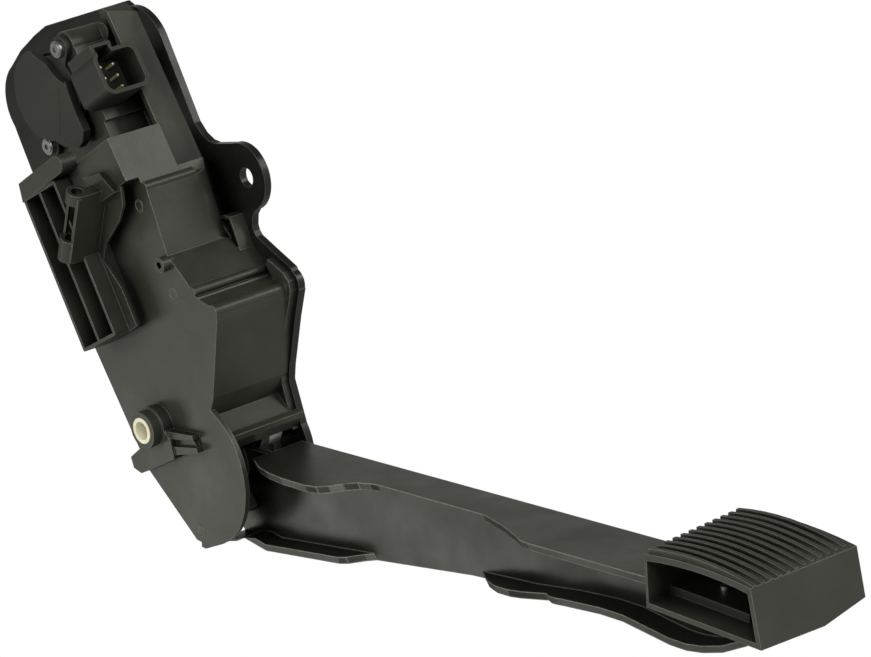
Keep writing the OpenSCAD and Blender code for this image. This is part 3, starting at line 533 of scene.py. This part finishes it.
@dataclass
class EjectorMarks:
    """Shallow raised rings that the mould's ejector pins left on the near wall."""

    name: str = "ejector_marks"
    places_mm: tuple[tuple[float, float], ...] = ((-23.4, 7.0), (-27.1, -34.3), (-82.9, -130.3))
    # radius and height above the wall, from the middle outwards; the last point lies in the wall
    profile_mm: tuple[tuple[float, float], ...] = ((2.2, 0.06), (2.5, 0.22), (2.9, 0.22),
                                                   (3.1, 0.04), (3.1, -0.05))
    wall_y_mm: float = -46.0
    segments: int = 48

    def ring(self, form: bmesh.types.BMesh, x: float, z: float, radius: float,
             height: float) -> list[bmesh.types.BMVert]:
        """Adds one ring of points round a mark.

        Args:
            form: The mesh that takes the points.
            x: The mark's place along X in millimetres.
            z: The mark's place along Z in millimetres.
            radius: The ring's radius in millimetres.
            height: How far the ring stands out of the wall in millimetres.

        Returns:
            The points in order.
        """
        turns = [math.tau * i / self.segments for i in range(self.segments)]
        return [form.verts.new(((x + radius * math.cos(a)) * MM, (self.wall_y_mm - height) * MM,
                                (z + radius * math.sin(a)) * MM)) for a in turns]

    def build(self) -> bpy.types.Object:
        """Builds one closed disc with a raised ring at each place, as one piece.

        Returns:
            The new piece.
        """
        form = bmesh.new()
        for x, z in self.places_mm:
            rings = [self.ring(form, x, z, radius, height) for radius, height in self.profile_mm]
            for inner, outer in zip(rings, rings[1:]):
                for i in range(self.segments):
                    k = (i + 1) % self.segments
                    form.faces.new((inner[i], inner[k], outer[k], outer[i]))
            form.faces.new(rings[0])
            form.faces.new(rings[-1])
        bmesh.ops.recalc_face_normals(form, faces=form.faces)
        mesh = bpy.data.meshes.new(self.name)
        form.to_mesh(mesh)
        form.free()
        piece = bpy.data.objects.new(self.name, mesh)
        bpy.context.scene.collection.objects.link(piece)
        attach(piece, "housing")
        return piece


@dataclass
class Assembly:
    """A sub-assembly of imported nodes, with the pieces that the scene adds to it."""

    added: dict[str, bpy.types.Object] = field(default_factory=dict, init=False)

    def build(self) -> None:
        """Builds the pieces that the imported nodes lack; most sub-assemblies lack none."""

    def finishes(self) -> dict[Finish, Names]:
        """Gives the pieces that wear each finish; each sub-assembly has its own."""
        raise NotImplementedError

    def dress(self) -> None:
        """Gives every piece of the sub-assembly its finish and reports it."""
        for finish, names in self.finishes().items():
            for name in names:
                materials = (self.added.get(name) or NODES[name]).data.materials
                materials.clear()
                materials.append(finish.material())
                LOG.info("%s: %s in %s", type(self).__name__, name, finish.name)


@dataclass
class Bracket(Assembly):
    """The pressed plate with its screws and the lower fixing."""

    plate: Names = ("mounting_plate",)
    screws: Names = ("plate_screws",)
    sleeve: Names = ("compression_sleeve",)

    def finishes(self) -> dict[Finish, Names]:
        """Gives the steel parts' finishes."""
        return {PLATE_STEEL: self.plate, ZINC_STEEL: self.screws, SLEEVE_STEEL: self.sleeve}


@dataclass
class Housing(Assembly):
    """The moulded housing with its mould's marks, and the harness holder on it."""

    shell: Names = ("housing",)
    holder: Names = ("harness_clip_holder",)
    marks: EjectorMarks = field(default_factory=EjectorMarks)

    def build(self) -> None:
        """Builds the marks on the near wall."""
        self.added[self.marks.name] = self.marks.build()

    def finishes(self) -> dict[Finish, Names]:
        """Gives the mouldings' finishes."""
        return {HOUSING_PLASTIC: (*self.shell, self.marks.name), HOLDER_PLASTIC: self.holder}


@dataclass
class Pivot(Assembly):
    """Pin, bushes, washers, friction shoe and bumpers round the pivot."""

    steel: Names = ("pivot_pin", "thrust_washers")
    bushes: Names = ("pivot_bushes",)
    shoe: Names = ("friction_shoe",)
    rubber: Names = ("idle_bumper", "full_travel_bumper")

    def finishes(self) -> dict[Finish, Names]:
        """Gives the finishes of the pieces round the pivot."""
        return {ZINC_STEEL: self.steel, BEARING_PLASTIC: self.bushes,
                FRICTION_PLASTIC: self.shoe, SOFT_RUBBER: self.rubber}


@dataclass
class Pedal(Assembly):
    """The arm and its pad."""

    arm: Names = ("pedal_arm",)
    pad: Names = ("pedal_pad",)
    screw: Names = ("pad_screw",)

    def finishes(self) -> dict[Finish, Names]:
        """Gives the finishes of the arm, the pad and its screw."""
        return {ARM_PLASTIC: self.arm, PAD_RUBBER: self.pad, ZINC_STEEL: self.screw}


@dataclass
class ReturnLink(Assembly):
    """The rod with its clips, spring seats and springs."""

    steel: Names = ("link_rod", "crank_clip", "lever_clip", "sensor_lever")
    seats: Names = ("spring_seat", "spring_cap")
    springs: Names = ("return_spring_outer", "return_spring_inner", "friction_spring")

    def finishes(self) -> dict[Finish, Names]:
        """Gives the finishes of the rod, the seats and the springs."""
        return {ZINC_STEEL: self.steel, BEARING_PLASTIC: self.seats, SPRING_WIRE: self.springs}


@dataclass
class PositionSensor(Assembly):
    """The sensor's case, cap, board, terminals, seal, rotor and screws."""

    case: Names = ("sensor_body", "sensor_cap", "sensor_rotor")
    board: Names = ("sensor_board",)
    terminals: Names = ("sensor_terminals",)
    screws: Names = ("sensor_screws",)
    seal: Names = ("sensor_seal",)
    magnet: Names = ("rotor_magnet",)

    def finishes(self) -> dict[Finish, Names]:
        """Gives the finishes of the sensor's pieces."""
        return {SENSOR_PLASTIC: self.case, BOARD: self.board, TERMINAL_METAL: self.terminals,
                ZINC_STEEL: self.screws, SOFT_RUBBER: self.seal, MAGNET: self.magnet}


def main() -> None:
    """Builds the studio and every sub-assembly in order."""
    logging.basicConfig(level=logging.INFO, format="%(name)s: %(message)s")
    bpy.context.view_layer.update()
    Studio().build()
    LOG.info("studio built")
    for assembly in (Bracket(), Housing(), Pivot(), Pedal(), ReturnLink(), PositionSensor()):
        assembly.build()
        assembly.dress()


if __name__ == "__main__":
    main()
